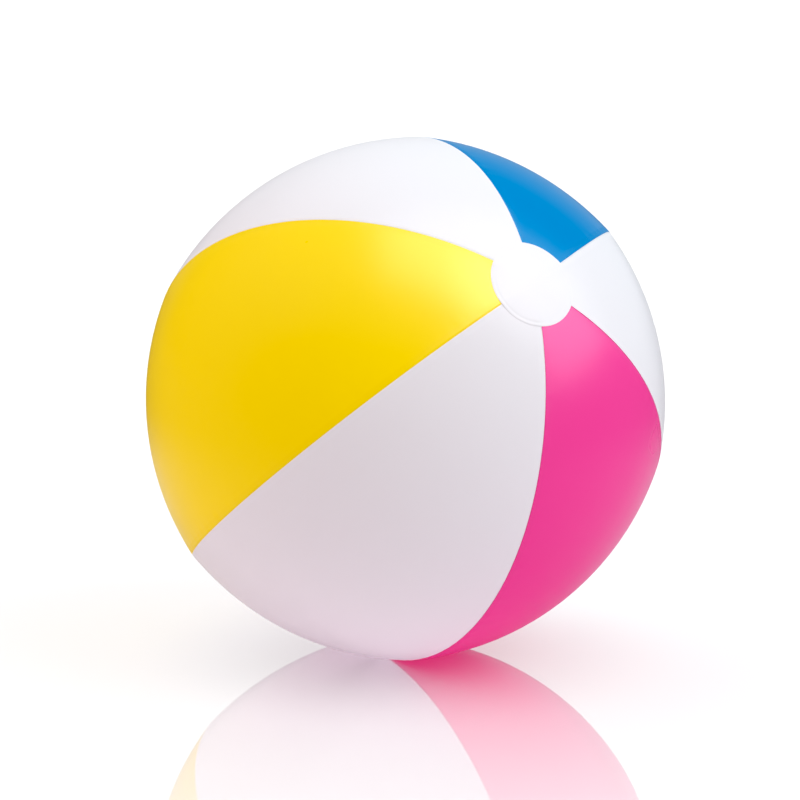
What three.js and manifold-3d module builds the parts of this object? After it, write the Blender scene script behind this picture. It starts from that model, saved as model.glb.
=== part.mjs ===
// Inflatable beach ball: six welded gore panels, two end discs and a push-in air valve.
// Millimetres, +Z up. The ball lies on a floor at z = 0 with its seam axis leaning, as it comes to rest.
import * as THREE from "three";
import Module from "manifold-3d";

const wasm = await Module();
wasm.setup();

const DEG = Math.PI / 180;

// The blown-up ball.
const EQUATOR_RADIUS = 160; // mean radius round the middle
const POLE_RADIUS = 166.5; // from the centre to either end disc, where the seams meet
const RIDGE = 0.0146; // how much the skin stands out along a seam, as a share of the radius
const SKIN = 0.3; // vinyl film
const LAYER_GAP = 0.35; // kept between two layers that are welded on the real ball
const UNDER = SKIN + LAYER_GAP; // depth of a layer that runs under its neighbour

// How it lies: the first seam's spin about the seam axis, then the axis's lean and its heading.
const SPIN = 114.4 * DEG;
const LEAN = 55.6 * DEG;
const HEADING = -56.5 * DEG;
const FLOOR_DIP = 0.9; // how far the skin flattens where it bears on the floor

// Gore panels, in order round the seam axis. A hand-fed welder leaves them a degree or two uneven.
const WHITE = "#f3f4f8";
const PANELS = [
  { name: "panel_blue", span: 58, colour: "#0089cf" },
  { name: "panel_white_top", span: 57, colour: WHITE },
  { name: "panel_yellow", span: 62, colour: "#ffdd00" },
  { name: "panel_white_front", span: 61, colour: WHITE, extraColumns: [0.9, 0.96] },
  { name: "panel_magenta", span: 61, colour: "#ee3a96", extraColumns: [0.085, 0.13] },
  { name: "panel_white_right", span: 61, colour: WHITE },
];
const WELD_EDGE = 0.2; // a panel's plain edge stands this far off the seam line
const JOGGLE_START = 1.6; // before the seam, where the panel steps down under its neighbour
const JOGGLE_END = 0.4;
const LAP = 4; // width of the lip under the neighbour
const PANEL_COLUMNS = [0.04, 0.2, 0.4, 0.6, 0.8]; // shares of a panel's width

// Rows of a panel, from tip to tip, with closer rows where it meets the floor.
const PANEL_TIP = 81.9 * DEG;
const ROWS = 20;
const FLOOR_LATITUDE = -35.5 * DEG;
const FLOOR_ROWS = [-6, -3.6, -1.5, 0, 1.5, 3.6, 6];

// End discs.
const DISC_RADIUS = 27.5; // measured flat
const DISC_ANGLE = 9.8 * DEG; // the same, seen from the ball's centre
const DISC_SIDES = 30;
const VALVE_HOLE_RADIUS = 13;

// Valve. Heights are measured outwards from the skin at the valve's pole.
const FLANGE_INNER_RADIUS = 12.2;
const FLANGE_OUTER_RADIUS = 20;
const FLANGE_THICKNESS = 0.8;
const STEM_TOP = -1.5;
const STEM_BOTTOM = -16.5;
const STEM_RADIUS = 6.5;
const BORE_RADIUS = 4;
const RIM_RADIUS = 7.2;
const RIM_HEIGHT = 1.5;
const SKIRT_TOP = -2.3;
const SKIRT_BOTTOM = -10.7;
const SKIRT_TOP_RADIUS = 11.8;
const SKIRT_WALL = 0.5;
const CLEARANCE = 0.3; // between pieces that touch on the real valve
const PLUG_HEAD = 2;
const PLUG_PIN = 5.6;
const PIN_TIP_RADIUS = 2.3;
const PIN_ROOT_RADIUS = 3.5;
const STRAP_WIDTH = 3.5;
const STRAP_WALL = 0.85;
const STRAP_REACH = 1.85; // outer radius of its bend
const FLAP_RADIUS = 5.6;
const FLAP_THICKNESS = 0.8;
const FLAP_HINGE = 6.2; // from the valve's axis
const ROUND_SIDES = 24;

// The direction of each seam, as an angle about the seam axis.
const seams = PANELS.reduce((list, panel) => [...list, list.at(-1) + panel.span * DEG], [0]);

// How far across its panel a longitude lies: -1 on the panel's first seam, 1 on its last.
function acrossPanel(longitude) {
  const turned = THREE.MathUtils.euclideanModulo(longitude, 2 * Math.PI);
  const i = Math.max(0, seams.findLastIndex((seam) => seam <= turned));
  const next = Math.min(i, PANELS.length - 1);
  return (2 * (turned - seams[next])) / (seams[next + 1] - seams[next]) - 1;
}

// A point of the blown-up skin, before it meets the floor, in the ball's own axes (seam axis along Z).
function roundSkin(latitude, longitude, depth) {
  const swell = 1 + RIDGE * (acrossPanel(longitude) ** 2 - 1 / 3) * Math.cos(latitude);
  const ring = EQUATOR_RADIUS * swell * Math.cos(latitude);
  const point = new THREE.Vector3(
    ring * Math.cos(longitude),
    ring * Math.sin(longitude),
    POLE_RADIUS * swell * Math.sin(latitude),
  );
  const normal = new THREE.Vector3(
    point.x / EQUATOR_RADIUS ** 2,
    point.y / EQUATOR_RADIUS ** 2,
    point.z / POLE_RADIUS ** 2,
  ).normalize();
  return point.addScaledVector(normal, -depth);
}

const attitude = new THREE.Matrix4()
  .makeRotationZ(HEADING)
  .multiply(new THREE.Matrix4().makeRotationY(LEAN))
  .multiply(new THREE.Matrix4().makeRotationZ(SPIN));

// Height of the ball's centre, so that its lowest point would lie FLOOR_DIP below the floor.
function centreHeight() {
  let lowest = 0;
  for (let latitude = -60; latitude < 0; latitude += 0.5) {
    for (let longitude = 0; longitude < 360; longitude += 0.5) {
      const z = roundSkin(latitude * DEG, longitude * DEG, 0).applyMatrix4(attitude).z;
      lowest = Math.min(lowest, z);
    }
  }
  return -lowest - FLOOR_DIP;
}

const placed = new THREE.Matrix4().makeTranslation(0, 0, centreHeight()).multiply(attitude);

// The same point as the ball lies on the floor, flattened where the floor holds it up.
function skinPoint(latitude, longitude, depth) {
  const outside = roundSkin(latitude, longitude, 0).applyMatrix4(placed);
  const point = roundSkin(latitude, longitude, depth).applyMatrix4(placed);
  if (outside.z < 0) point.z = depth;
  return point;
}

// Moves every corner of a geometry to where place(x, y, z) says.
function reshaped(geometry, place) {
  const positions = geometry.getAttribute("position");
  for (let i = 0; i < positions.count; i++) {
    const point = place(positions.getX(i), positions.getY(i), positions.getZ(i));
    positions.setXYZ(i, point.x, point.y, point.z);
  }
  geometry.computeVertexNormals();
  return geometry;
}

function vinyl(colour) {
  return new THREE.MeshStandardMaterial({ color: colour, roughness: 0.22, metalness: 0 });
}

function piece(name, geometry, colour) {
  const mesh = new THREE.Mesh(geometry, vinyl(colour));
  mesh.name = name;
  return mesh;
}

// Latitudes of a panel's rows.
function panelRows() {
  const even = Array.from({ length: ROWS + 1 }, (_, i) => PANEL_TIP * ((2 * i) / ROWS - 1));
  const close = FLOOR_ROWS.map((step) => FLOOR_LATITUDE + step * DEG);
  const clear = even.filter((latitude) => Math.abs(latitude - FLOOR_LATITUDE) > 8.5 * DEG);
  return [...clear, ...close].sort((a, b) => a - b);
}

// A panel's columns: each lies at a share of the width, some millimetres on, at some depth.
function panelColumns(extra = []) {
  const inner = [...PANEL_COLUMNS, ...extra].sort((a, b) => a - b);
  return [
    { share: 0, on: WELD_EDGE, depth: 0 },
    ...inner.map((share) => ({ share, on: 0, depth: 0 })),
    { share: 1, on: -JOGGLE_START, depth: 0 },
    { share: 1, on: -JOGGLE_END, depth: UNDER },
    { share: 1, on: LAP, depth: UNDER },
  ];
}

// A gore: a thin sheet bent on the ball, with one plain edge and one lip under its neighbour.
function gorePanel(panel, index) {
  const rows = panelRows();
  const columns = panelColumns(panel.extraColumns);
  const sheet = new THREE.BoxGeometry(1, 1, 1, columns.length - 1, rows.length - 1, 1);
  reshaped(sheet, (x, y, z) => {
    const column = columns[Math.round((x + 0.5) * (columns.length - 1))];
    const latitude = rows[Math.round((y + 0.5) * (rows.length - 1))];
    const on = column.on / (EQUATOR_RADIUS * Math.cos(latitude));
    const longitude = seams[index] + column.share * panel.span * DEG + on;
    return skinPoint(latitude, longitude, column.depth + (0.5 - z) * SKIN);
  });
  return piece(panel.name, sheet, panel.colour);
}

// A flat round sheet, or a ring when it has a hole, whose outline is turned about Z.
function flatRound(innerRadius, outerRadius, thickness, rings) {
  const step = (outerRadius - innerRadius) / rings;
  const out = Array.from({ length: rings + 1 }, (_, i) => innerRadius + i * step);
  const outline = [
    ...out.map((r) => new THREE.Vector2(r, -thickness)),
    ...out.toReversed().map((r) => new THREE.Vector2(r, 0)),
  ];
  if (innerRadius > 0) outline.push(outline[0].clone());
  return new THREE.LatheGeometry(outline, DISC_SIDES).rotateX(Math.PI / 2);
}

// Bends a flat round piece on to the ball over one of its poles, some depth under the skin.
function bentOverPole(geometry, depth, pole) {
  if (pole < 0) geometry.rotateX(Math.PI);
  return reshaped(geometry, (x, y, z) => {
    const latitude = 90 * DEG - (Math.hypot(x, y) / DISC_RADIUS) * DISC_ANGLE;
    return skinPoint(pole * latitude, Math.atan2(y, x), depth - pole * z);
  });
}

function plainDisc() {
  const sheet = flatRound(0, DISC_RADIUS, SKIN, 4);
  return piece("end_disc_plain", bentOverPole(sheet, -UNDER, 1), WHITE);
}

function valveDisc() {
  const sheet = flatRound(VALVE_HOLE_RADIUS, DISC_RADIUS, SKIN, 3);
  return piece("end_disc_valve", bentOverPole(sheet, -UNDER, -1), WHITE);
}

// The valve moulding's weld ring, under the disc.
function valveFlange() {
  const ring = flatRound(FLANGE_INNER_RADIUS, FLANGE_OUTER_RADIUS, FLANGE_THICKNESS, 2);
  return piece("valve_flange", bentOverPole(ring, 0, -1), WHITE);
}

// A solid turned about Z from an outline of [radius, height] corners.
function turned(corners, sides = ROUND_SIDES) {
  const outline = corners.map(([radius, height]) => new THREE.Vector2(radius, height));
  return new THREE.LatheGeometry(outline, sides).rotateX(Math.PI / 2);
}

// The soft sleeve between the flange and the stem. It rolls inside out when the valve comes up.
function valveSkirt() {
  const foot = STEM_RADIUS + CLEARANCE;
  const outline = [
    [foot, SKIRT_BOTTOM],
    [foot + SKIRT_WALL, SKIRT_BOTTOM],
    [SKIRT_TOP_RADIUS, SKIRT_TOP - SKIRT_WALL],
    [SKIRT_TOP_RADIUS, SKIRT_TOP],
    [SKIRT_TOP_RADIUS - SKIRT_WALL, SKIRT_TOP],
    [foot, SKIRT_BOTTOM + SKIRT_WALL],
    [foot, SKIRT_BOTTOM],
  ];
  return piece("valve_skirt", turned(outline), WHITE);
}

// The tube that is blown into.
function valveStem() {
  const outline = [
    [BORE_RADIUS, STEM_BOTTOM],
    [STEM_RADIUS, STEM_BOTTOM],
    [STEM_RADIUS, STEM_TOP - RIM_HEIGHT],
    [RIM_RADIUS, STEM_TOP - RIM_HEIGHT],
    [RIM_RADIUS, STEM_TOP],
    [BORE_RADIUS, STEM_TOP],
    [BORE_RADIUS, STEM_BOTTOM],
  ];
  return piece("valve_stem", turned(outline), WHITE);
}

// One closed solid from two that overlap.
function joined(first, second) {
  const both = [first, second].map(solid).reduce((a, b) => a.add(b));
  const mesh = both.getMesh();
  const geometry = new THREE.BufferGeometry();
  geometry.setAttribute("position", new THREE.BufferAttribute(mesh.vertProperties, 3));
  geometry.setIndex(new THREE.BufferAttribute(mesh.triVerts, 1));
  geometry.computeVertexNormals();
  return geometry;
}

// A three.js geometry as a manifold-3d solid, with equal corners made one.
function solid(geometry) {
  const positions = geometry.getAttribute("position");
  const known = new Map();
  const corners = [];
  const use = [];
  for (let i = 0; i < positions.count; i++) {
    const at = [positions.getX(i), positions.getY(i), positions.getZ(i)];
    const key = at.map((value) => Math.round(value * 1e4)).join();
    if (!known.has(key)) known.set(key, corners.push(at) - 1);
    use.push(known.get(key));
  }
  const index = geometry.index ? [...geometry.index.array].map((i) => use[i]) : use;
  const faces = [];
  for (let i = 0; i < index.length; i += 3) {
    const [a, b, c] = index.slice(i, i + 3);
    if (a !== b && b !== c && c !== a) faces.push(a, b, c);
  }
  const vertProperties = new Float32Array(corners.flat());
  return new wasm.Manifold(
    new wasm.Mesh({ numProp: 3, vertProperties, triVerts: new Uint32Array(faces) }),
  );
}

// The stopper: a tapered pin under a round head, with a tongue to pull it by.
function valvePlug() {
  const seat = STEM_TOP + CLEARANCE;
  const top = seat + PLUG_HEAD;
  const bevel = 0.5;
  const body = turned([
    [0, seat - PLUG_PIN],
    [PIN_TIP_RADIUS, seat - PLUG_PIN],
    [PIN_ROOT_RADIUS, seat],
    [RIM_RADIUS, seat],
    [RIM_RADIUS, top - bevel],
    [RIM_RADIUS - bevel, top],
    [0, top],
  ]);
  const tongue = new THREE.BoxGeometry(4.2, 4.6, 1).translate(-RIM_RADIUS - 0.6, 0, seat + 0.9);
  return piece("valve_plug", joined(body, tongue), WHITE);
}

// The strap that keeps the plug: a band bent round in a half ring, from the head to the stem's rim.
function plugStrap() {
  const section = new THREE.Shape();
  section.absarc(0, 0, STRAP_REACH, -90 * DEG, 90 * DEG, false);
  section.absarc(0, 0, STRAP_REACH - STRAP_WALL, 90 * DEG, -90 * DEG, true);
  const band = new THREE.ExtrudeGeometry(section, {
    depth: STRAP_WIDTH,
    curveSegments: 8,
    bevelEnabled: false,
  });
  band.translate(0, 0, -STRAP_WIDTH / 2).rotateX(90 * DEG);
  band.translate(RIM_RADIUS + 0.35, 0, STEM_TOP + 0.4);
  return piece("plug_strap", band, WHITE);
}

// The disc that the ball's own air holds against the stem's inner end.
function checkFlap() {
  const height = STEM_BOTTOM - CLEARANCE - FLAP_THICKNESS / 2;
  const disc = new THREE.CylinderGeometry(FLAP_RADIUS, FLAP_RADIUS, FLAP_THICKNESS, ROUND_SIDES);
  disc.rotateX(90 * DEG).translate(0, 0, height);
  const tabStart = 4;
  const tab = new THREE.BoxGeometry(FLAP_HINGE - tabStart, 4, FLAP_THICKNESS);
  tab.translate((FLAP_HINGE + tabStart) / 2, 0, height);
  return piece("check_flap", joined(disc, tab), WHITE);
}

// The valve's moving pieces, turned so that their Z points out of the ball at the valve's pole.
function valve() {
  const group = new THREE.Group();
  group.add(valveSkirt(), valveStem(), plugStrap(), valvePlug(), checkFlap());
  const outward = new THREE.Matrix4().makeRotationX(Math.PI);
  const pole = new THREE.Matrix4().makeTranslation(0, 0, -POLE_RADIUS - UNDER);
  group.applyMatrix4(placed.clone().multiply(pole).multiply(outward));
  return group;
}

const ball = new THREE.Group();
ball.add(...PANELS.map(gorePanel), plainDisc(), valveDisc(), valveFlange(), valve());

export default ball;
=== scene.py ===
import math

import bmesh
import bpy
import numpy as np
from mathutils import Matrix, Vector


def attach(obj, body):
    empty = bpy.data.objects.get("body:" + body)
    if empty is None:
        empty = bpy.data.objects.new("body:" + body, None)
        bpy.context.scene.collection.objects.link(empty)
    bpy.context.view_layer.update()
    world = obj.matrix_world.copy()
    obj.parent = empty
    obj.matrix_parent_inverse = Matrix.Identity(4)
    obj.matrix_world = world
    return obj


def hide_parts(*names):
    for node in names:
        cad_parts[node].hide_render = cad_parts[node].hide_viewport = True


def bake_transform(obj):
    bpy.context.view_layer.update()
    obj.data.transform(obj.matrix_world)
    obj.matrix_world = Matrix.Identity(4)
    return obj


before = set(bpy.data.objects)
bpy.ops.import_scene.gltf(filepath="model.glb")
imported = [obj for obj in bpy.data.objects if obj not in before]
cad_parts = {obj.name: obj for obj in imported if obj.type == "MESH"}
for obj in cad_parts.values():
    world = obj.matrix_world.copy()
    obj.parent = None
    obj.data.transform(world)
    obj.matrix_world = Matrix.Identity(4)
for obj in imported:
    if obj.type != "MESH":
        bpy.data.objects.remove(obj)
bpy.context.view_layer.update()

MM = 0.001

# ---------------------------------------------------------------- the ball's shape, as in the CAD source (mm)
EQUATOR_RADIUS = 160.0
POLE_RADIUS = 166.5
RIDGE = 0.0146
PANEL_SPANS = {
    "panel_blue": 58,
    "panel_white_top": 57,
    "panel_yellow": 62,
    "panel_white_front": 61,
    "panel_magenta": 61,
    "panel_white_right": 61,
}
SPIN, LEAN, HEADING = (math.radians(a) for a in (114.4, 55.6, -56.5))
FLOOR_DIP = 0.9  # how far the floor presses the lowest film in
FLOOR_SOFTNESS = 0.15  # how gently the film bends off the floor round that flat
CAD_DISC_LIFT = 0.65  # how far the CAD end discs stand off the skin

FILM = 0.25  # real film thickness
WELD_GAP = 0.02  # between the two layers of a lap weld
LAP_WIDTH = 4.5
PANEL_TIP = math.radians(81.9)
DISC_RADIUS = 27.5
DISC_ANGLE = math.radians(9.8)
VALVE_HOLE_RADIUS = 13.0

seams = np.radians(np.cumsum([0] + list(PANEL_SPANS.values())))


def skin_without_floor(latitude, longitude, depth):
    """Points of the blown-up skin in the ball's own axes, in mm, some depth under its outside."""
    turned = np.mod(longitude, 2 * np.pi)
    panel = np.clip(np.searchsorted(seams, turned, side="right") - 1, 0, len(seams) - 2)
    across = 2 * (turned - seams[panel]) / (seams[panel + 1] - seams[panel]) - 1
    swell = 1 + RIDGE * (across**2 - 1 / 3) * np.cos(latitude)
    ring = EQUATOR_RADIUS * swell * np.cos(latitude)
    points = np.stack(
        [ring * np.cos(longitude), ring * np.sin(longitude), POLE_RADIUS * swell * np.sin(latitude)], -1
    )
    normals = points / np.array([EQUATOR_RADIUS**2, EQUATOR_RADIUS**2, POLE_RADIUS**2])
    normals /= np.linalg.norm(normals, axis=-1, keepdims=True)
    return points - normals * np.asarray(depth)[..., None]


attitude = (
    Matrix.Rotation(HEADING, 3, "Z") @ Matrix.Rotation(LEAN, 3, "Y") @ Matrix.Rotation(SPIN, 3, "Z")
)


def centre_height():
    """Height of the ball's centre over the floor, in mm, with the lowest film pressed in."""
    below, around = np.radians(np.arange(-60, 0, 0.5)), np.radians(np.arange(0, 360, 0.5))
    latitude, longitude = np.meshgrid(below, around)
    heights = skin_without_floor(latitude, longitude, np.zeros_like(latitude)) @ np.array(attitude)[2]
    return -heights.min() - FLOOR_DIP


CENTRE_HEIGHT = centre_height()


def skin(latitude, longitude, depth):
    """The same points where the ball lies, in metres: flat where the floor bears it up."""
    turn = np.array(attitude).T
    depth = np.broadcast_to(depth, latitude.shape)
    outside = skin_without_floor(latitude, longitude, np.zeros_like(latitude)) @ turn
    points = skin_without_floor(latitude, longitude, depth) @ turn
    height = outside[..., 2] + CENTRE_HEIGHT
    pressed = (height + np.sqrt(height**2 + FLOOR_SOFTNESS**2)) / 2
    points[..., 2] += CENTRE_HEIGHT + pressed - height
    return points * MM


# ---------------------------------------------------------------- mesh helpers
def smooth(mesh, sharp_from):
    """Smooth shading, but for edges that turn by more than an angle in degrees."""
    mesh.polygons.foreach_set("use_smooth", [True] * len(mesh.polygons))
    mesh.set_sharp_from_angle(angle=math.radians(sharp_from))


def new_piece(name, verts, faces, material, attributes=None):
    """An object made from points in metres, with a number for each point under each attribute's name."""
    mesh = bpy.data.meshes.new(name)
    mesh.from_pydata([tuple(v) for v in verts], [], [tuple(int(i) for i in f) for f in faces])
    mesh.update()
    for label, values in (attributes or {}).items():
        layer = mesh.attributes.new(label, "FLOAT", "POINT")
        layer.data.foreach_set("value", np.asarray(values, np.float32).ravel())
    smooth(mesh, 40)
    mesh.materials.append(material)
    piece = bpy.data.objects.new(name, mesh)
    bpy.context.scene.collection.objects.link(piece)
    return piece


def grid_faces(rows, columns, start=0, flip=False, wrap=False):
    """Quads of a rows by columns grid of points. With wrap, the last column joins the first."""
    across = columns if wrap else columns - 1
    i, j = np.meshgrid(np.arange(rows - 1), np.arange(across), indexing="ij")
    a = i * columns + j
    b = i * columns + (j + 1) % columns
    quads = np.stack([a, b, b + columns, a + columns], -1).reshape(-1, 4) + start
    return quads[:, ::-1] if flip else quads


def sheet_shell(outer, inner):
    """Points and faces of a closed thin sheet from its two grids of points."""
    rows, columns = outer.shape[:2]
    count = rows * columns
    verts = np.concatenate([outer.reshape(-1, 3), inner.reshape(-1, 3)])
    edge = np.concatenate(
        [
            np.arange(columns),
            columns * np.arange(1, rows) + columns - 1,
            count - 2 - np.arange(columns - 1),
            columns * np.arange(rows - 2, 0, -1),
        ]
    )
    after = np.roll(edge, -1)
    wall = np.stack([edge, edge + count, after + count, after], -1)
    faces = np.concatenate([grid_faces(rows, columns), grid_faces(rows, columns, count, flip=True), wall])
    return verts, faces


# ---------------------------------------------------------------- materials
def node_material(name):
    material = bpy.data.materials.new(name)
    material.use_nodes = True
    nodes = material.node_tree.nodes
    shader = next(n for n in nodes if n.type == "BSDF_PRINCIPLED")
    return material, nodes, material.node_tree.links, shader


def math_node(nodes, links, operation, *inputs, clamp=False):
    node = nodes.new("ShaderNodeMath")
    node.operation = operation
    node.use_clamp = clamp
    for socket, value in zip(node.inputs, inputs):
        if isinstance(value, (int, float)):
            socket.default_value = value
        else:
            links.new(value, socket)
    return node.outputs[0]


def noise(nodes, links, vector, scale, detail=2.0, roughness=0.5):
    node = nodes.new("ShaderNodeTexNoise")
    node.inputs["Scale"].default_value = scale
    node.inputs["Detail"].default_value = detail
    node.inputs["Roughness"].default_value = roughness
    links.new(vector, node.inputs["Vector"])
    return node.outputs["Fac"]


def map_range(nodes, links, value, source, target):
    node = nodes.new("ShaderNodeMapRange")
    for socket, number in zip(list(node.inputs)[1:5], (*source, *target)):
        socket.default_value = number
    links.new(value, node.inputs[0])
    return node.outputs[0]


def mix_colour(nodes, links, factor, first, second):
    node = nodes.new("ShaderNodeMix")
    node.data_type = "RGBA"
    for socket, value in ((node.inputs[0], factor), (node.inputs[6], first), (node.inputs[7], second)):
        if isinstance(value, tuple):
            socket.default_value = (*value, 1)
        else:
            links.new(value, socket)
    return node.outputs[2]


def dot_product(nodes, links, vector, toward):
    """How far a vector reaches in a fixed direction."""
    node = nodes.new("ShaderNodeVectorMath")
    node.operation = "DOT_PRODUCT"
    links.new(vector, node.inputs[0])
    node.inputs[1].default_value = Vector(toward).normalized()
    return node.outputs["Value"]


def attribute(nodes, name):
    node = nodes.new("ShaderNodeAttribute")
    node.attribute_name = name
    return node.outputs["Fac"]


def press_relief(nodes, links, relief, shader):
    """Gives the surface a relief in mm."""
    bump = nodes.new("ShaderNodeBump")
    bump.inputs["Distance"].default_value = MM
    bump.inputs["Strength"].default_value = 1.0
    links.new(relief, bump.inputs["Height"])
    links.new(bump.outputs["Normal"], shader.inputs["Normal"])


FILM_IOR = 1.56
CLOUD_SCALE, HAZE_SCALE = 9, 16  # slow changes of the film's colour and of its sheen
FILM_ROUGHNESS, BAND_DULLNESS = (0.26, 0.34), 0.06
BAND_TINT, BAND_FADE = 0.06, 0.6  # share of the tint on a weld band, and the mm over which the band ends
PAINTED_SEAM_LINE, PAINTED_LINE_SPAN = 0.25, (0.6, 0.1)  # share of the tint in the painted line at a seam, lighter on white as a painted highlight and darker on the colours as painted shade, and the mm over which it comes in
KNURL_PITCH, KNURL_HEIGHT = 0.9, 0.012  # mm
RIPPLE_SCALE, RIPPLE_HEIGHT = 26, 0.03
GRAIN_SCALE, GRAIN_HEIGHT = 700, 0.0006


def film_material(name, colour, deep, weld_tint_and_painted_line, gloss):
    """Glossy calendered vinyl film, with a fine diamond knurl, a slight tint on its weld bands, and a painted
    line along each seam: a painted highlight on white, painted shade on the colours.
    """
    material, nodes, links, shader = node_material(name)
    position = nodes.new("ShaderNodeTexCoord").outputs["Object"]
    seam = attribute(nodes, "seam_mm")
    along = attribute(nodes, "along_mm")
    cloud = noise(nodes, links, position, CLOUD_SCALE, 0)
    body = mix_colour(nodes, links, cloud, colour, deep)
    band = map_range(nodes, links, seam, (LAP_WIDTH, LAP_WIDTH - BAND_FADE), (0, 1))
    # Along each seam a painted line: lighter on white as a painted highlight, darker on the colours as
    # painted shade.
    edge = map_range(nodes, links, seam, PAINTED_LINE_SPAN, (0, PAINTED_SEAM_LINE))
    body = mix_colour(nodes, links, math_node(nodes, links, "MULTIPLY", band, BAND_TINT), body, weld_tint_and_painted_line)
    body = mix_colour(nodes, links, edge, body, weld_tint_and_painted_line)
    links.new(body, shader.inputs["Base Color"])
    haze = noise(nodes, links, position, HAZE_SCALE, 0)
    sheen = map_range(nodes, links, haze, (0.0, 1.0), FILM_ROUGHNESS)
    dulled = math_node(nodes, links, "MULTIPLY", band, BAND_DULLNESS)
    links.new(math_node(nodes, links, "ADD", sheen, dulled), shader.inputs["Roughness"])
    shader.inputs["IOR"].default_value = FILM_IOR
    shader.inputs["Specular IOR Level"].default_value = gloss
    turn = 2 * math.pi / KNURL_PITCH
    first = math_node(nodes, links, "MULTIPLY", math_node(nodes, links, "ADD", along, seam), turn)
    second = math_node(nodes, links, "MULTIPLY", math_node(nodes, links, "SUBTRACT", along, seam), turn)
    first, second = (math_node(nodes, links, "SINE", wave) for wave in (first, second))
    diamonds = math_node(nodes, links, "MULTIPLY", first, second)
    knurl = math_node(nodes, links, "MULTIPLY", diamonds, band)
    knurl = math_node(nodes, links, "MULTIPLY", knurl, KNURL_HEIGHT)
    ripple = noise(nodes, links, position, RIPPLE_SCALE, 0)
    ripple = math_node(nodes, links, "MULTIPLY", ripple, RIPPLE_HEIGHT)
    grain = noise(nodes, links, position, GRAIN_SCALE, 1)
    grain = math_node(nodes, links, "MULTIPLY", grain, GRAIN_HEIGHT)
    relief = math_node(nodes, links, "ADD", math_node(nodes, links, "ADD", knurl, ripple), grain)
    press_relief(nodes, links, relief, shader)
    return material


MOULDED_IOR = 1.52
MOULDED_ROUGHNESS = (0.34, 0.46)
FLOW_SCALE, FLOW_SPAN = 160, (0.3, 0.7)  # flow marks in the colour and the sheen
PITS_SCALE, PITS_HEIGHT = 1500, 0.02  # the height in mm


def moulded_material(name, colour, deep):
    """Soft moulded vinyl of the valve: milky, satin, with fine flow marks."""
    material, nodes, links, shader = node_material(name)
    position = nodes.new("ShaderNodeTexCoord").outputs["Object"]
    flow = noise(nodes, links, position, FLOW_SCALE, 3, 0.55)
    body = mix_colour(nodes, links, map_range(nodes, links, flow, FLOW_SPAN, (0, 1)), colour, deep)
    links.new(body, shader.inputs["Base Color"])
    sheen = map_range(nodes, links, flow, FLOW_SPAN, MOULDED_ROUGHNESS)
    links.new(sheen, shader.inputs["Roughness"])
    shader.inputs["IOR"].default_value = MOULDED_IOR
    pits = noise(nodes, links, position, PITS_SCALE, 3)
    press_relief(nodes, links, math_node(nodes, links, "MULTIPLY", pits, PITS_HEIGHT), shader)
    return material


FILM_LOOKS = {  # colour, the colour of its clouds, tint of the weld bands and of the painted seam line (lighter on white as a painted highlight, darker on the colours as painted shade), gloss
    "vinyl_white": ((0.80, 0.80, 0.84), (0.785, 0.785, 0.825), (0.90, 0.90, 0.94), 0.08),
    "vinyl_yellow": ((0.98, 0.745, 0.024), (0.97, 0.715, 0.024), (0.85, 0.58, 0.018), 0.2),
    "vinyl_magenta": ((0.87, 0.060, 0.325), (0.85, 0.054, 0.310), (0.66, 0.04, 0.24), 0.2),
    "vinyl_blue": ((0.0, 0.235, 0.58), (0.0, 0.225, 0.56), (0.0, 0.14, 0.38), 0.14),
}
film = {name: film_material(name, *look) for name, look in FILM_LOOKS.items()}
moulded = moulded_material("valve_vinyl", (0.74, 0.76, 0.78), (0.70, 0.72, 0.74))
panel_slot = {"panel_blue": "vinyl_blue", "panel_yellow": "vinyl_yellow", "panel_magenta": "vinyl_magenta"}


# ---------------------------------------------------------------- gore panels
ROWS = 241
STEPS_IN = [0.08, 0.25, 0.6, 1.2, 2.0, 3.0, 4.0, 5.0, 6.5, 9.0, 13.0]  # mm in from the plain edge
STEPS_OUT = [13.0, 9.0, 6.5, 5.0, 4.0, 3.0, 2.0, 1.4, 1.1]  # mm before the other seam
# The far edge dives under the next panel: mm before its seam, and the share of a film's depth reached there.
JOGGLE = [(0.9, 0.06), (0.7, 0.35), (0.5, 0.65), (0.3, 0.94), (0.1, 1.0), (-1.5, 1.0), (-LAP_WIDTH, 1.0)]
MIDDLE_COLUMNS = 18
FULL_WIDTH = 40  # mm, where a panel is narrower its columns draw together
PUCKER = 0.05  # mm, height of the small gathers along a weld
PUCKER_PITCH, PUCKER_BEAT = 8.5, 1.63  # mm between gathers, and how much longer the second wave is
PUCKER_AT, PUCKER_SPREAD = 3.5, 14  # mm in from the seam at the highest, and twice the variance


def panel_grid(start, span):
    """Latitude, longitude, depth and distance from the nearer seam, for each row and column of a panel."""
    latitude = np.linspace(-PANEL_TIP, PANEL_TIP, ROWS)
    ring = EQUATOR_RADIUS * np.cos(latitude)
    width = ring * span
    squeeze = np.minimum(1, width / FULL_WIDTH)
    columns = []
    for step in STEPS_IN:
        columns.append((step * squeeze, 0 * ring, step + 0 * ring))
    first, last = STEPS_IN[-1] * squeeze, width - STEPS_OUT[0] * squeeze
    for k in range(1, MIDDLE_COLUMNS):
        on = first + (last - first) * k / MIDDLE_COLUMNS
        columns.append((on, 0 * ring, np.minimum(on, width - on)))
    for step in STEPS_OUT:
        columns.append((width - step * squeeze, 0 * ring, step + 0 * ring))
    for step, share in JOGGLE:
        columns.append((width - step * squeeze, share * (FILM + WELD_GAP) + 0 * ring, abs(step) + 0 * ring))
    on, depth, seam = (np.stack(values, 1) for values in zip(*columns))
    longitude = start + on / ring[:, None]
    return np.repeat(latitude[:, None], on.shape[1], 1), longitude, depth, seam


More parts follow.
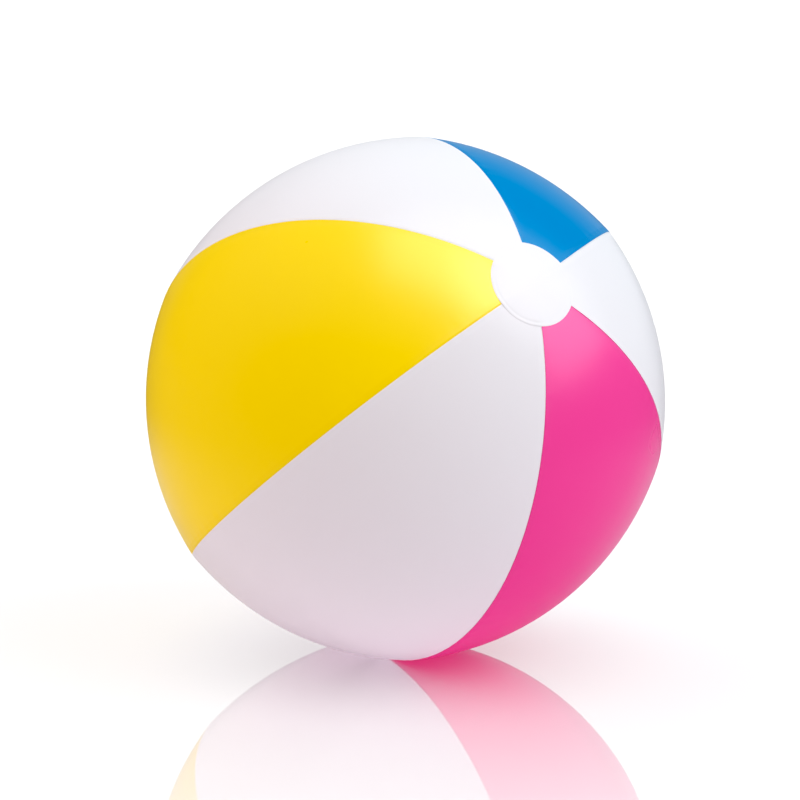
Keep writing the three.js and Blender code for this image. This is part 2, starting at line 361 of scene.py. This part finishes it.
def pucker(latitude, seam, phase):
    """Small gathers that a weld leaves in the film beside it, fading within a centimetre."""
    along = latitude * EQUATOR_RADIUS
    wave = np.sin(2 * np.pi * along / PUCKER_PITCH + phase)
    wave = wave + 0.6 * np.sin(2 * np.pi * along / (PUCKER_PITCH * PUCKER_BEAT))
    fade = np.exp(-((seam - PUCKER_AT) ** 2) / PUCKER_SPREAD) * np.cos(latitude) ** 0.5
    return PUCKER * wave * fade


def gore_panel(name, index):
    """One panel of film, a closed thin sheet whose far edge lies under the next panel."""
    start, span = seams[index], seams[index + 1] - seams[index]
    latitude, longitude, depth, seam = panel_grid(start, span)
    lowered = depth - pucker(latitude, seam, index)
    outer = skin(latitude, longitude, lowered)
    inner = skin(latitude, longitude, lowered + FILM)
    verts, faces = sheet_shell(outer, inner)
    marks = {"seam_mm": np.tile(seam.ravel(), 2), "along_mm": np.tile((latitude * EQUATOR_RADIUS).ravel(), 2)}
    slot = panel_slot.get(name, "vinyl_white")
    piece = new_piece(name + "_film", verts, faces, film[slot], attributes=marks)
    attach(piece, "skin")
    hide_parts(name)


for index, name in enumerate(PANEL_SPANS):
    gore_panel(name, index)


# ---------------------------------------------------------------- end discs
DISC_SECTORS = 180
# The rings of points near a disc's rim, in mm in from it.
DISC_STEPS = [0.15, 0.4, 0.8, 1.2, 1.6, 2.0, 2.5, 3.0, 3.5, 4.0, 4.5, 5.0, 6.0, 7.5, 9.5, 12.0]
WELD_RING_DEPTH, WELD_RING_AT = 0.10, 2.2  # mm, the latter in from the rim
LAP_RISE = 0.14  # mm, how high a lap shows through
RIM_DROP = 0.10


def disc_relief(inward, longitude):
    """How far a disc's outside stands off the skin, in mm: a pressed weld ring, and the six laps under it."""
    lift = FILM + WELD_GAP
    ring = -WELD_RING_DEPTH * np.exp(-((inward - WELD_RING_AT) ** 2) / 0.5)
    nearest = np.abs((longitude[..., None] - seams[:-1] + np.pi) % (2 * np.pi) - np.pi).min(-1)
    across = nearest * (DISC_RADIUS - inward)
    laps = LAP_RISE * np.exp(-((across - 1.5) ** 2) / 6) * np.exp(-((inward - 2.0) ** 2) / 9)
    rim = -RIM_DROP * np.exp(-inward / 0.25)
    return lift + ring + laps + rim


def disc_radii(hole_radius):
    """Radii of a disc's rings of points, from its rim inwards: close together over the weld ring."""
    stop = DISC_RADIUS - max(hole_radius, 1.0)
    near = [0.0] + [step for step in DISC_STEPS if step < stop - 1]
    return DISC_RADIUS - np.concatenate([near, np.linspace(near[-1], stop, 8)[1:]])


def ring_wall(first, offset, flip):
    """Quads between a ring of DISC_SECTORS points and the same ring offset points further on."""
    edge = first + np.arange(DISC_SECTORS)
    after = np.roll(edge, -1)
    quads = np.stack([edge, edge + offset, after + offset, after], -1)
    return quads[:, ::-1] if flip else quads


def fan(first, middle, flip):
    """Triangles from a ring of points to one point in its middle."""
    edge = first + np.arange(DISC_SECTORS)
    after = np.roll(edge, -1)
    triangles = np.stack([edge, after, np.full(DISC_SECTORS, middle)], -1)
    return triangles[:, ::-1] if flip else triangles


def end_disc(name, pole, hole_radius):
    """A round of film over the tips of the panels at one pole, 1 or -1, with or without a hole."""
    radii = disc_radii(hole_radius)
    angles = np.linspace(0, 2 * np.pi, DISC_SECTORS, endpoint=False)
    radius, longitude = np.meshgrid(radii, angles, indexing="ij")
    latitude = pole * (np.pi / 2 - radius / DISC_RADIUS * DISC_ANGLE)
    lift = disc_relief(DISC_RADIUS - radius, longitude)
    outer = skin(latitude, longitude, -lift).reshape(-1, 3)
    inner = skin(latitude, longitude, FILM - lift).reshape(-1, 3)
    verts = [outer, inner]
    count = len(outer)
    inside_out = pole < 0
    faces = [
        *grid_faces(len(radii), DISC_SECTORS, 0, inside_out, wrap=True),
        *grid_faces(len(radii), DISC_SECTORS, count, not inside_out, wrap=True),
        *ring_wall(0, count, not inside_out),
    ]
    last_ring = count - DISC_SECTORS
    if hole_radius > 0:
        faces.extend(ring_wall(last_ring, count, inside_out))
    else:
        middle_depths = np.array([-lift[-1, 0], FILM - lift[-1, 0]])
        verts.append(skin(np.full(2, pole * np.pi / 2), np.zeros(2), middle_depths))
        faces.extend(fan(last_ring, 2 * count, inside_out))
        faces.extend(fan(last_ring + count, 2 * count + 1, not inside_out))
    verts = np.concatenate(verts)
    seam = np.full(len(verts), DISC_RADIUS)
    along = np.zeros(len(verts))
    seam[: 2 * count] = np.tile((DISC_RADIUS - radius).ravel(), 2)
    along[: 2 * count] = np.tile((longitude * DISC_RADIUS).ravel(), 2)
    marks = {"seam_mm": seam, "along_mm": along}
    piece = new_piece(name + "_film", verts, faces, film["vinyl_white"], attributes=marks)
    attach(piece, "skin")
    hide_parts(name)


end_disc("end_disc_plain", 1, 0)
end_disc("end_disc_valve", -1, VALVE_HOLE_RADIUS)


# ---------------------------------------------------------------- valve (mm along its own axis, outwards)
STEM_TOP, STEM_BOTTOM, STEM_RADIUS, BORE_RADIUS = -1.5, -16.5, 6.5, 4.0
RIM_RADIUS, RIM_HEIGHT = 7.2, 1.5
FLANGE_INNER_RADIUS, FLANGE_OUTER_RADIUS, FLANGE_WALL = 12.2, 20.0, 0.8
SKIRT_TOP, SKIRT_BOTTOM, SKIRT_TOP_RADIUS = -2.0, -10.9, 12.1
SKIRT_BULGE, SKIRT_WALL, SKIRT_ROWS = 0.7, 0.45, 25
CLEARANCE = 0.3
PLUG_HEAD, PLUG_PIN, PIN_TIP_RADIUS, PIN_ROOT_RADIUS = 2.0, 5.6, 2.3, 3.5
TONGUE_LENGTH, TONGUE_WIDTH, TONGUE_THICKNESS = 4.4, 4.6, 1.0
STRAP_WIDTH, STRAP_WALL, STRAP_REACH = 3.5, 0.85, 1.85
STRAP_LEAD, STRAP_MIDDLE = 0.35, 0.4  # its straight ends, and its middle's height over the stem's top
FLAP_RADIUS, FLAP_THICKNESS, FLAP_HINGE = 5.6, 0.8, 6.2
TAB_START, TAB_WIDTH = 4.0, 4
VALVE_SECTORS = 72

valve_frame = (
    Matrix.Translation((0, 0, CENTRE_HEIGHT * MM))
    @ attitude.to_4x4()
    @ Matrix.Translation((0, 0, -(POLE_RADIUS + CAD_DISC_LIFT) * MM))
    @ Matrix.Rotation(math.pi, 4, "X")
    @ Matrix.Scale(MM, 4)
)


def rounded(corners, radius, steps=4):
    """An outline of [radius, height] corners with each inner corner turned into a small curve."""
    points = [Vector(corners[0])]
    for before, corner, after in zip(corners, corners[1:], corners[2:]):
        before, corner, after = Vector(before), Vector(corner), Vector(after)
        into, away = before - corner, after - corner
        reach = min(radius, 0.45 * into.length, 0.45 * away.length)
        start, end = corner + into.normalized() * reach, corner + away.normalized() * reach
        for k in range(steps + 1):
            t = k / steps
            points.append(start * (1 - t) ** 2 + corner * 2 * t * (1 - t) + end * t**2)
    points.append(Vector(corners[-1]))
    return points


def turned(name, outline, closed):
    """A solid turned about the valve's axis. A closed outline makes a ring, an open one ends on the axis."""
    work = bmesh.new()
    verts = [work.verts.new((p.x, 0, p.y)) for p in outline]
    pairs = list(zip(verts, verts[1:])) + ([(verts[-1], verts[0])] if closed else [])
    edges = [work.edges.new(pair) for pair in pairs]
    bmesh.ops.spin(
        work,
        geom=verts + edges,
        axis=(0, 0, 1),
        cent=(0, 0, 0),
        steps=VALVE_SECTORS,
        angle=2 * math.pi,
        use_merge=True,
    )
    bmesh.ops.remove_doubles(work, verts=work.verts, dist=1e-4)
    bmesh.ops.recalc_face_normals(work, faces=work.faces)
    return finished(name, work)


def finished(name, work):
    """A piece from mesh work done in the valve's own millimetres."""
    mesh = bpy.data.meshes.new(name)
    work.to_mesh(mesh)
    work.free()
    mesh.transform(valve_frame)
    smooth(mesh, 50)
    mesh.materials.append(moulded)
    piece = bpy.data.objects.new(name, mesh)
    bpy.context.scene.collection.objects.link(piece)
    return piece


def place(piece, body, node):
    """Says which body carries a piece of the valve and which CAD node it stands for."""
    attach(piece, body)
    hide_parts(node)


def sag(radius):
    """How the ball's skin falls away from its height on the valve's axis, in mm."""
    return -(radius**2) / (2 * POLE_RADIUS)


def valve_flange():
    """The weld ring under the disc, bent to the ball, with a soft lip round its hole."""
    lip = FLANGE_INNER_RADIUS
    at_lip = -CAD_DISC_LIFT + sag(lip)
    at_edge = -CAD_DISC_LIFT + sag(FLANGE_OUTER_RADIUS)
    corners = [
        (lip + 0.9, at_lip - FLANGE_WALL),
        (FLANGE_OUTER_RADIUS, at_edge - FLANGE_WALL),
        (FLANGE_OUTER_RADIUS, at_edge - 0.45),
        (lip + 0.7, at_lip - 0.05),
        (lip, at_lip - 0.25),
        (lip, at_lip - FLANGE_WALL),
    ]
    outline = rounded(corners + corners[:2], 0.3)[1:-1]
    place(turned("valve_weld_ring", outline, closed=True), "skin", "valve_flange")


def valve_skirt():
    """The rolling sleeve from weld ring to stem: a soft sheet, thickened last so that it can turn over."""
    foot = STEM_RADIUS + 0.15
    work = bmesh.new()
    rings = []
    angles = [2 * math.pi * s / VALVE_SECTORS for s in range(VALVE_SECTORS)]
    for k in range(SKIRT_ROWS):
        t = k / (SKIRT_ROWS - 1)
        radius = SKIRT_TOP_RADIUS + (foot - SKIRT_TOP_RADIUS) * t + SKIRT_BULGE * math.sin(math.pi * t)
        height = SKIRT_TOP + (SKIRT_BOTTOM - SKIRT_TOP) * t
        rings.append([work.verts.new((radius * math.cos(a), radius * math.sin(a), height)) for a in angles])
    for upper, lower in zip(rings, rings[1:]):
        for s in range(VALVE_SECTORS):
            n = (s + 1) % VALVE_SECTORS
            work.faces.new((upper[s], upper[n], lower[n], lower[s]))
    piece = finished("valve_sleeve", work)
    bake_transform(piece)
    thicken(piece, SKIRT_WALL)
    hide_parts("valve_skirt")


def thicken(piece, wall):
    """Gives a sheet a wall in mm, half to each side."""
    thick = piece.modifiers.new("wall", "SOLIDIFY")
    thick.thickness = wall * MM
    thick.offset = 0

def valve_stem():
    """The mouthpiece tube, with a flat rim that the plug's head rests over."""
    corners = [
        (BORE_RADIUS, STEM_BOTTOM),
        (STEM_RADIUS - 0.5, STEM_BOTTOM),
        (STEM_RADIUS, STEM_BOTTOM + 4),
        (STEM_RADIUS, STEM_TOP - RIM_HEIGHT),
        (RIM_RADIUS, STEM_TOP - RIM_HEIGHT + 0.2),
        (RIM_RADIUS, STEM_TOP),
        (BORE_RADIUS + 0.3, STEM_TOP),
        (BORE_RADIUS, STEM_TOP - 0.8),
    ]
    outline = rounded(corners + corners[:2], 0.35)[1:-1]
    place(turned("valve_tube", outline, closed=True), "valve", "valve_stem")


def valve_plug():
    """A tapered pin under a dished round head, with a tongue to pull it by."""
    seat = STEM_TOP + CLEARANCE
    top = seat + PLUG_HEAD
    corners = [
        (0, seat - PLUG_PIN),
        (PIN_TIP_RADIUS, seat - PLUG_PIN),
        (PIN_ROOT_RADIUS - 0.3, seat - 1.4),
        (PIN_ROOT_RADIUS, seat - 0.9),
        (PIN_ROOT_RADIUS - 0.1, seat),
        (RIM_RADIUS, seat),
        (RIM_RADIUS, top - 0.35),
        (RIM_RADIUS - 0.9, top),
        (RIM_RADIUS - 1.6, top - 0.05),
        (RIM_RADIUS - 2.1, top - 0.45),
        (0, top - 0.55),
    ]
    piece = turned("valve_stopper", rounded(corners, 0.35), closed=False)
    tongue = bmesh.new()
    size = (TONGUE_LENGTH, TONGUE_WIDTH, TONGUE_THICKNESS, 1)
    bmesh.ops.create_cube(tongue, size=1, matrix=Matrix.Diagonal(size))
    corners_up = [e for e in tongue.edges if abs(e.verts[0].co.z - e.verts[1].co.z) > 0.5]
    bmesh.ops.bevel(tongue, geom=corners_up, offset=1.4, segments=6, profile=0.5, affect="EDGES")
    bmesh.ops.bevel(tongue, geom=tongue.edges[:], offset=0.2, segments=2, profile=0.5, affect="EDGES")
    bmesh.ops.translate(tongue, verts=tongue.verts, vec=(-RIM_RADIUS - 0.5, 0, seat + 0.9))
    join(piece, finished("tongue", tongue))
    place(piece, "plug", "valve_plug")


def join(piece, other):
    """Makes other part of piece as one solid."""
    union = piece.modifiers.new("union", "BOOLEAN")
    union.operation = "UNION"
    union.object = other
    union.solver = "EXACT"
    graph = bpy.context.evaluated_depsgraph_get()
    mesh = bpy.data.meshes.new_from_object(piece.evaluated_get(graph))
    piece.modifiers.clear()
    piece.data = mesh
    smooth(mesh, 50)
    bpy.data.objects.remove(other)


def plug_strap():
    """A band bent round in a half ring from the stem's rim to the plug's head."""
    middle = Vector((RIM_RADIUS + STRAP_LEAD, 0, STEM_TOP + STRAP_MIDDLE))
    reach = STRAP_REACH - STRAP_WALL / 2
    path = [(-STRAP_LEAD, -reach)]
    for angle in (math.radians(a) for a in range(0, 181, 10)):
        path.append((reach * math.sin(angle), -reach * math.cos(angle)))
    path.append((-STRAP_LEAD, reach))
    widths = [k / 6 - 0.5 for k in range(7)]
    work = bmesh.new()
    rows = [
        [work.verts.new((middle.x + x, STRAP_WIDTH * w, middle.z + z)) for w in widths]
        for x, z in path
    ]
    for lower, upper in zip(rows, rows[1:]):
        for k in range(len(widths) - 1):
            work.faces.new((lower[k], lower[k + 1], upper[k + 1], upper[k]))
    piece = finished("plug_band", work)
    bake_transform(piece)
    thicken(piece, STRAP_WALL)
    soft_edge = piece.modifiers.new("edge", "BEVEL")
    soft_edge.width = 0.18 * MM
    soft_edge.segments = 2
    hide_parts("plug_strap")


def check_flap():
    """The disc that closes the stem from inside, with a tab to its hinge."""
    half = FLAP_THICKNESS / 2
    height = STEM_BOTTOM - CLEARANCE - half
    corners = [(0, -half), (FLAP_RADIUS, -half), (FLAP_RADIUS, half), (0, half)]
    outline = [p + Vector((0, height)) for p in rounded(corners, 0.25)]
    piece = turned("check_disc", outline, closed=False)
    tab = bmesh.new()
    size = (FLAP_HINGE - TAB_START, TAB_WIDTH, FLAP_THICKNESS - 0.1, 1)
    bmesh.ops.create_cube(tab, size=1, matrix=Matrix.Diagonal(size))
    bmesh.ops.bevel(tab, geom=tab.edges[:], offset=0.15, segments=2, profile=0.5, affect="EDGES")
    bmesh.ops.translate(tab, verts=tab.verts, vec=((FLAP_HINGE + TAB_START) / 2, 0, height))
    join(piece, finished("tab", tab))
    place(piece, "flap", "check_flap")


valve_flange()
valve_skirt()
valve_stem()
valve_plug()
plug_strap()
check_flap()


# ---------------------------------------------------------------- floor, light and camera
BALL_CENTRE = Vector((0, 0, CENTRE_HEIGHT * MM))

# The floor and the backdrop. Distances on the floor are in metres from the point under the ball.
FLOOR_HALF = 40.0
FLOOR_GREY = (0.56, 0.535, 0.54)
# What the ball's gloss sees of the floor is a painted reflection: light near the ball, dark further off.
FLOOR_NEAR_IN_GLOSS, FLOOR_FAR_IN_GLOSS = (0.58, 0.56, 0.57), (0.08, 0.08, 0.08)
FLOOR_GLOSS_SPAN = (0.32, 0.85)
FLOOR_GLOW, GLOW_AT_BALL, PAINTED_SHADOW_RADIUS = 0.42, 0.05, 0.18  # white that only the eye sees, dimmed near the ball as a painted shadow on the floor
LAMP_UNDER, LAMP_RADIUS, LAMP_FAR = (0.76, 0.60, 0.68), 0.32, 0.46  # under the sheet, brightest at the ball
POLISH, POLISH_RADIUS = 0.52, 0.80
WALL_TOWARD, WALL_IN_GLOSS = (0.25, 0.96, -0.1), (0.62, 0.62, 0.64)
WALL_SPAN = (0.6, 1.0)
EYE_DEPTH = 2.5  # the world counts a bounce more, so this takes in what the floor mirrors once

# The lights: the way to them, how wide they look in degrees, their energy and colour.
KEY_TOWARD, KEY_COLOUR = (0.69, -0.28, 0.67), (1.0, 0.99, 0.97)
SOFT_LIGHTS = {
    "key_wide": (KEY_TOWARD, 85, 0.88, KEY_COLOUR),
    "key_core": (KEY_TOWARD, 40, 0.91, KEY_COLOUR),
    "sky": ((0, 0, 1), 120, 1.41, (0.67, 0.93, 1.0)),
    "fill_behind": ((-0.58, 0.58, 0.57), 120, 1.76, (0.63, 0.94, 1.0)),
    "fill_warm": ((-0.82, 0, 0.57), 120, 1.65, (1.0, 0.43, 0.31)),
    "fill_right": ((0.85, 0.5, 0.1), 120, 0.74, (1.0, 0.93, 0.93)),
}
HOT_SPOT = ((0.53, -0.30, 0.79), 36, 1.5, (1.0, 0.95, 0.95))
SOFTBOX_TOWARD, SOFTBOX_LONG_AXIS = (0.561, -0.192, 0.803), (0.80, 0.07, -0.595)
SOFTBOX_DISTANCE, SOFTBOX_LENGTH, SOFTBOX_WIDTH, SOFTBOX_RADIANCE = 1.6, 3.2, 1.35, 6.2

CAMERA_ELEVATION, CAMERA_DISTANCE = math.radians(12), 2.356
CAMERA_LENS, CAMERA_SENSOR = 170.5, 36
AIM_OFFSET = (-0.0028, 0, -0.0007)  # the ball sits a hair right of the middle of the view
BLACK_LEVEL = (0.034, 0.022, 0.032)  # a touch more depth in the colours


def seen_directly(nodes, links):
    """1 for what the camera sees, itself or once mirrored by the floor, and 0 for what lights the ball."""
    path = nodes.new("ShaderNodeLightPath")
    first = math_node(nodes, links, "LESS_THAN", path.outputs["Ray Depth"], EYE_DEPTH)
    mirrored = math_node(nodes, links, "MULTIPLY", path.outputs["Is Singular Ray"], first)
    return math_node(nodes, links, "ADD", path.outputs["Is Camera Ray"], mirrored, clamp=True)


def by_distance(nodes, links, distance, source, target):
    """A number that changes softly with distance on the floor."""
    value = map_range(nodes, links, distance, source, target)
    value.node.interpolation_type = "SMOOTHSTEP"
    return value


def floor_material():
    """A white acrylic sheet, lit a little from below, whose polish fades away from the ball. The white that
    only the eye sees dims near the ball as a painted shadow, and the ball's gloss sees a painted reflection
    of the floor, light near the ball and dark further off.
    """
    material, nodes, links, shader = node_material("white_floor")
    path = nodes.new("ShaderNodeLightPath")
    shader.inputs["Roughness"].default_value = 1.0
    shader.inputs["Specular IOR Level"].default_value = 0.0
    length = nodes.new("ShaderNodeVectorMath")
    length.operation = "LENGTH"
    links.new(nodes.new("ShaderNodeNewGeometry").outputs["Position"], length.inputs[0])
    distance = length.outputs["Value"]
    # The floor's colour for the ball's gloss alone: a painted reflection, light near the ball and dark
    # further off.
    near = by_distance(nodes, links, distance, FLOOR_GLOSS_SPAN, (1, 0))
    in_gloss = mix_colour(nodes, links, near, FLOOR_FAR_IN_GLOSS, FLOOR_NEAR_IN_GLOSS)
    colour = mix_colour(nodes, links, path.outputs["Is Glossy Ray"], FLOOR_GREY, in_gloss)
    links.new(colour, shader.inputs["Base Color"])
    lamp = by_distance(nodes, links, distance, (0.0, LAMP_RADIUS), (1.0, LAMP_FAR))
    lamp = math_node(nodes, links, "MULTIPLY", lamp, path.outputs["Is Diffuse Ray"])
    # The white that only the eye sees fades close to the ball: a painted contact shadow.
    clear = by_distance(nodes, links, distance, (0.0, PAINTED_SHADOW_RADIUS), (FLOOR_GLOW * GLOW_AT_BALL, FLOOR_GLOW))
    glow = math_node(nodes, links, "MULTIPLY", seen_directly(nodes, links), clear)
    light = nodes.new("ShaderNodeVectorMath")
    light.operation = "MULTIPLY_ADD"
    links.new(lamp, light.inputs[0])
    light.inputs[1].default_value = LAMP_UNDER
    links.new(glow, light.inputs[2])
    links.new(light.outputs[0], shader.inputs["Emission Color"])
    shader.inputs["Emission Strength"].default_value = 1.0
    mirror = nodes.new("ShaderNodeBsdfGlossy")
    mirror.inputs["Roughness"].default_value = 0.0
    mirror.inputs["Color"].default_value = (1, 1, 1, 1)
    share = by_distance(nodes, links, distance, (0.0, POLISH_RADIUS), (POLISH, 0.0))
    both = nodes.new("ShaderNodeMixShader")
    links.new(math_node(nodes, links, "MULTIPLY", share, path.outputs["Is Camera Ray"]), both.inputs[0])
    links.new(shader.outputs[0], both.inputs[1])
    links.new(mirror.outputs[0], both.inputs[2])
    output = next(n for n in nodes if n.type == "OUTPUT_MATERIAL")
    links.new(both.outputs[0], output.inputs["Surface"])
    return material


def make_floor():
    near, far = -FLOOR_HALF, FLOOR_HALF
    corners = [(near, near, 0), (far, near, 0), (far, far, 0), (near, far, 0)]
    new_piece("floor", corners, [(0, 1, 2, 3)], floor_material())


def make_world():
    """A white backdrop for the eye, and in the ball's gloss one pale wall behind the ball."""
    world = bpy.data.worlds.new("studio")
    world.use_nodes = True
    nodes, links = world.node_tree.nodes, world.node_tree.links
    direction = nodes.new("ShaderNodeTexCoord").outputs["Generated"]
    wall = map_range(nodes, links, dot_product(nodes, links, direction, WALL_TOWARD), WALL_SPAN, (0, 1))
    glossy = nodes.new("ShaderNodeLightPath").outputs["Is Glossy Ray"]
    wall = math_node(nodes, links, "MULTIPLY", wall, glossy)
    room = mix_colour(nodes, links, wall, (0.0, 0.0, 0.0), WALL_IN_GLOSS)
    background = next(n for n in nodes if n.type == "BACKGROUND")
    backdrop = mix_colour(nodes, links, seen_directly(nodes, links), room, (1.0, 1.0, 1.0))
    links.new(backdrop, background.inputs["Color"])
    bpy.context.scene.world = world


def soft_light(name, toward, width, energy, colour, gloss_only=False):
    """A broad light a long way off, made to light the surfaces, or with gloss_only just their shine."""
    light = bpy.data.lights.new(name, "SUN")
    light.angle = math.radians(width)
    light.energy = energy
    light.color = colour
    lamp = bpy.data.objects.new(name, light)
    lamp.rotation_mode = "QUATERNION"
    lamp.rotation_quaternion = Vector(toward).to_track_quat("Z", "Y")
    lamp.visible_glossy = gloss_only
    lamp.visible_diffuse = not gloss_only
    bpy.context.scene.collection.objects.link(lamp)


def softbox():
    """The key light's box as the film shows it in its gloss: a big rectangle, out of the picture."""
    light = bpy.data.lights.new("softbox", "AREA")
    light.shape = "RECTANGLE"
    light.size, light.size_y = SOFTBOX_LENGTH, SOFTBOX_WIDTH
    light.energy = SOFTBOX_RADIANCE * math.pi * SOFTBOX_LENGTH * SOFTBOX_WIDTH
    light.use_nodes = True
    nodes, links = light.node_tree.nodes, light.node_tree.links
    mirrored = nodes.new("ShaderNodeLightPath").outputs["Is Singular Ray"]
    strength = math_node(nodes, links, "SUBTRACT", 1.0, mirrored)
    links.new(strength, next(n for n in nodes if n.type == "EMISSION").inputs["Strength"])
    lamp = bpy.data.objects.new("softbox", light)
    back = Vector(SOFTBOX_TOWARD).normalized()
    across = back.cross(Vector(SOFTBOX_LONG_AXIS)).normalized()
    along = across.cross(back)
    turn = Matrix((along, across, back)).transposed().to_4x4()
    lamp.matrix_world = Matrix.Translation(BALL_CENTRE + back * SOFTBOX_DISTANCE) @ turn
    lamp.visible_diffuse = False
    lamp.visible_camera = False
    bpy.context.scene.collection.objects.link(lamp)


def make_camera():
    back = Vector((0, -math.cos(CAMERA_ELEVATION), math.sin(CAMERA_ELEVATION)))
    aim = BALL_CENTRE + Vector(AIM_OFFSET)
    data = bpy.data.cameras.new("camera")
    data.lens = CAMERA_LENS
    data.sensor_width = CAMERA_SENSOR
    data.clip_end = 100
    camera = bpy.data.objects.new("camera", data)
    camera.location = BALL_CENTRE + back * CAMERA_DISTANCE
    camera.rotation_mode = "QUATERNION"
    camera.rotation_quaternion = (camera.location - aim).to_track_quat("Z", "Y")
    bpy.context.scene.collection.objects.link(camera)
    bpy.context.scene.camera = camera


make_floor()
make_world()
for name, look in SOFT_LIGHTS.items():
    soft_light(name, *look)
softbox()
soft_light("hot_spot", *HOT_SPOT, gloss_only=True)
make_camera()
view = bpy.context.scene.view_settings
view.view_transform = "Standard"
view.use_curve_mapping = True
view.curve_mapping.black_level = BLACK_LEVEL
